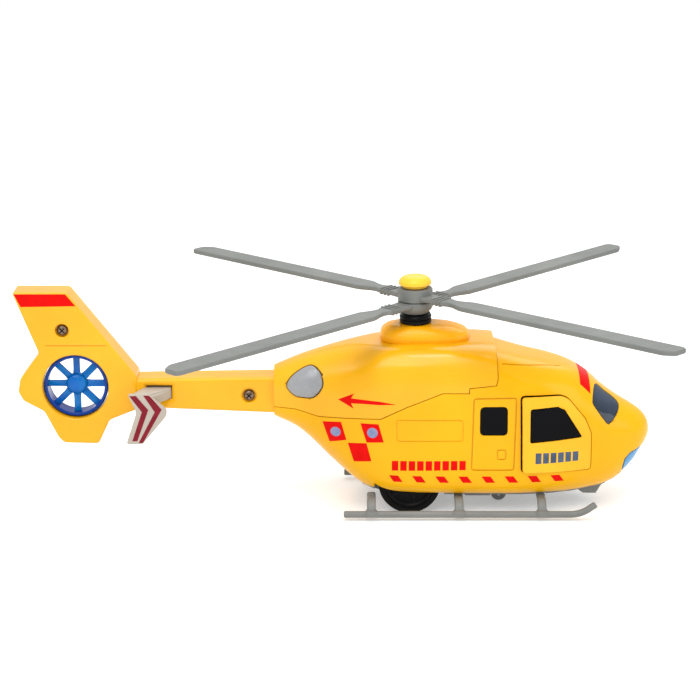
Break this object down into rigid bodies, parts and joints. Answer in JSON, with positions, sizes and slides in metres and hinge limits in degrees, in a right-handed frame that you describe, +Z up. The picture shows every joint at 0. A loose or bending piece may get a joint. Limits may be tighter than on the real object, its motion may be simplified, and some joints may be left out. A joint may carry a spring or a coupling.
{
  "type": "toy helicopter",
  "caption": "Push-along toy rescue helicopter with free-turning main rotor, shrouded tail fan, opening front doors, sprung sound button, skids and rolling wheels.",
  "frame": {"origin": "on the ground under the wheels, at the middle of the overall length and on the centre plane", "axes": "+X forward to the nose, +Y to the helicopter's left, +Z up"},
  "size_m": [0.2875, 0.2138, 0.1061],
  "materials": {
    "hull_yellow": "satin moulded ABS, saturated yellow",
    "cowling_yellow": "satin moulded ABS, warmer yellow",
    "fairing_yellow": "satin moulded ABS, orange yellow",
    "cap_yellow": "satin moulded plastic, lemon yellow",
    "rotor_grey": "satin flexible grey plastic",
    "skid_grey": "satin grey ABS",
    "button_grey": "silver grey, metallic-look plastic",
    "fin_grey": "warm grey plastic with dark red stripes",
    "dark_plastic": "charcoal moulded plastic",
    "black_plastic": "black moulded plastic",
    "tyre_black": "soft black rubber",
    "fan_blue": "clear blue polystyrene",
    "lens_blue": "pale blue clear plastic",
    "tinted_glazing": "smoked, nearly opaque glossy plastic",
    "steel": "zinc plated steel",
    "brass": "turned brass",
    "board_green": "green lacquered circuit board",
    "cell_steel": "nickel plated cell can",
    "led_white": "clear epoxy"
  },
  "bodies": {
    "fuselage": {"cabin_shell": "hull_yellow", "cowling_right": "cowling_yellow", "cowling_left": "cowling_yellow", "mast_fairing": "fairing_yellow", "base_plate": "skid_grey", "battery_cover": "skid_grey", "skid_right": "skid_grey", "skid_left": "skid_grey", "exhaust_cap_left": "button_grey", "tail_stabiliser": "fin_grey", "friction_motor_case": "dark_plastic", "tact_switch": "dark_plastic", "speaker": "dark_plastic", "interior_tub": "dark_plastic", "seat_right": "dark_plastic", "seat_left": "dark_plastic", "nose_lens": "lens_blue", "windscreen_right": "tinted_glazing", "windscreen_left": "tinted_glazing", "rear_window_right": "tinted_glazing", "rear_window_left": "tinted_glazing", "fin_screw": "steel", "boom_screw": "steel", "battery_cover_screw": "steel", "front_axle": "steel", "circuit_board": "board_green", "battery_cell_1": "cell_steel", "battery_cell_2": "cell_steel", "battery_cell_3": "cell_steel", "nose_led": "led_white"},
    "rear_axle_set": {"rear_axle": "steel", "axle_gear": "black_plastic", "rear_wheel_right": "black_plastic", "rear_wheel_left": "black_plastic", "rear_tyre_right": "tyre_black", "rear_tyre_left": "tyre_black"},
    "flywheel": {"flywheel": "brass"},
    "front_wheel": {"front_wheel": "skid_grey"},
    "main_rotor": {"rotor_bar_lower": "rotor_grey", "rotor_bar_upper": "rotor_grey", "rotor_cap": "cap_yellow", "rotor_collar": "black_plastic", "rotor_shaft": "steel", "rotor_screw": "steel", "shaft_clip": "steel"},
    "tail_fan": {"tail_fan": "fan_blue"},
    "push_button": {"push_button": "button_grey", "switch_plunger": "black_plastic"},
    "front_door_right": {"front_door_right": "cowling_yellow", "door_window_right": "tinted_glazing"},
    "front_door_left": {"front_door_left": "cowling_yellow", "door_window_left": "tinted_glazing"}
  },
  "joints": [
    {"name": "main_rotor_spin", "type": "hinge", "parent": "fuselage", "child": "main_rotor", "pos_m": [0.037, 0, 0.084], "axis": [-0.0209, 0, 0.9998], "continuous": true},
    {"name": "tail_fan_spin", "type": "hinge", "parent": "fuselage", "child": "tail_fan", "pos_m": [-0.1167, 0, 0.0557], "axis": [0, 1, 0], "continuous": true},
    {"name": "rear_axle_spin", "type": "hinge", "parent": "fuselage", "child": "rear_axle_set", "pos_m": [0.0343, 0, 0.014], "axis": [0, 1, 0], "continuous": true},
    {"name": "flywheel_spin", "type": "hinge", "parent": "fuselage", "child": "flywheel", "pos_m": [0.03886, 0, 0.01944], "axis": [0, 1, 0], "continuous": true},
    {"name": "front_wheel_spin", "type": "hinge", "parent": "fuselage", "child": "front_wheel", "pos_m": [0.0758, 0, 0.0035], "axis": [0, 1, 0], "continuous": true},
    {"name": "button_press", "type": "slide", "parent": "fuselage", "child": "push_button", "axis": [0, 1, 0], "range_m": [0, 0.0012], "stiffness_N_per_m": 400, "springref_m": -0.0008},
    {"name": "right_door_swing", "type": "hinge", "parent": "fuselage", "child": "front_door_right", "pos_m": [0.1146, -0.0199, 0.03], "axis": [0, 0, 1], "range_deg": [-4, 62]},
    {"name": "left_door_swing", "type": "hinge", "parent": "fuselage", "child": "front_door_left", "pos_m": [0.1146, 0.0199, 0.03], "axis": [0, 0, -1], "range_deg": [0, 66]}
  ],
  "couplings": [
    {"joint": "flywheel_spin", "follows": "rear_axle_spin", "ratio": -2.5}
  ]
}
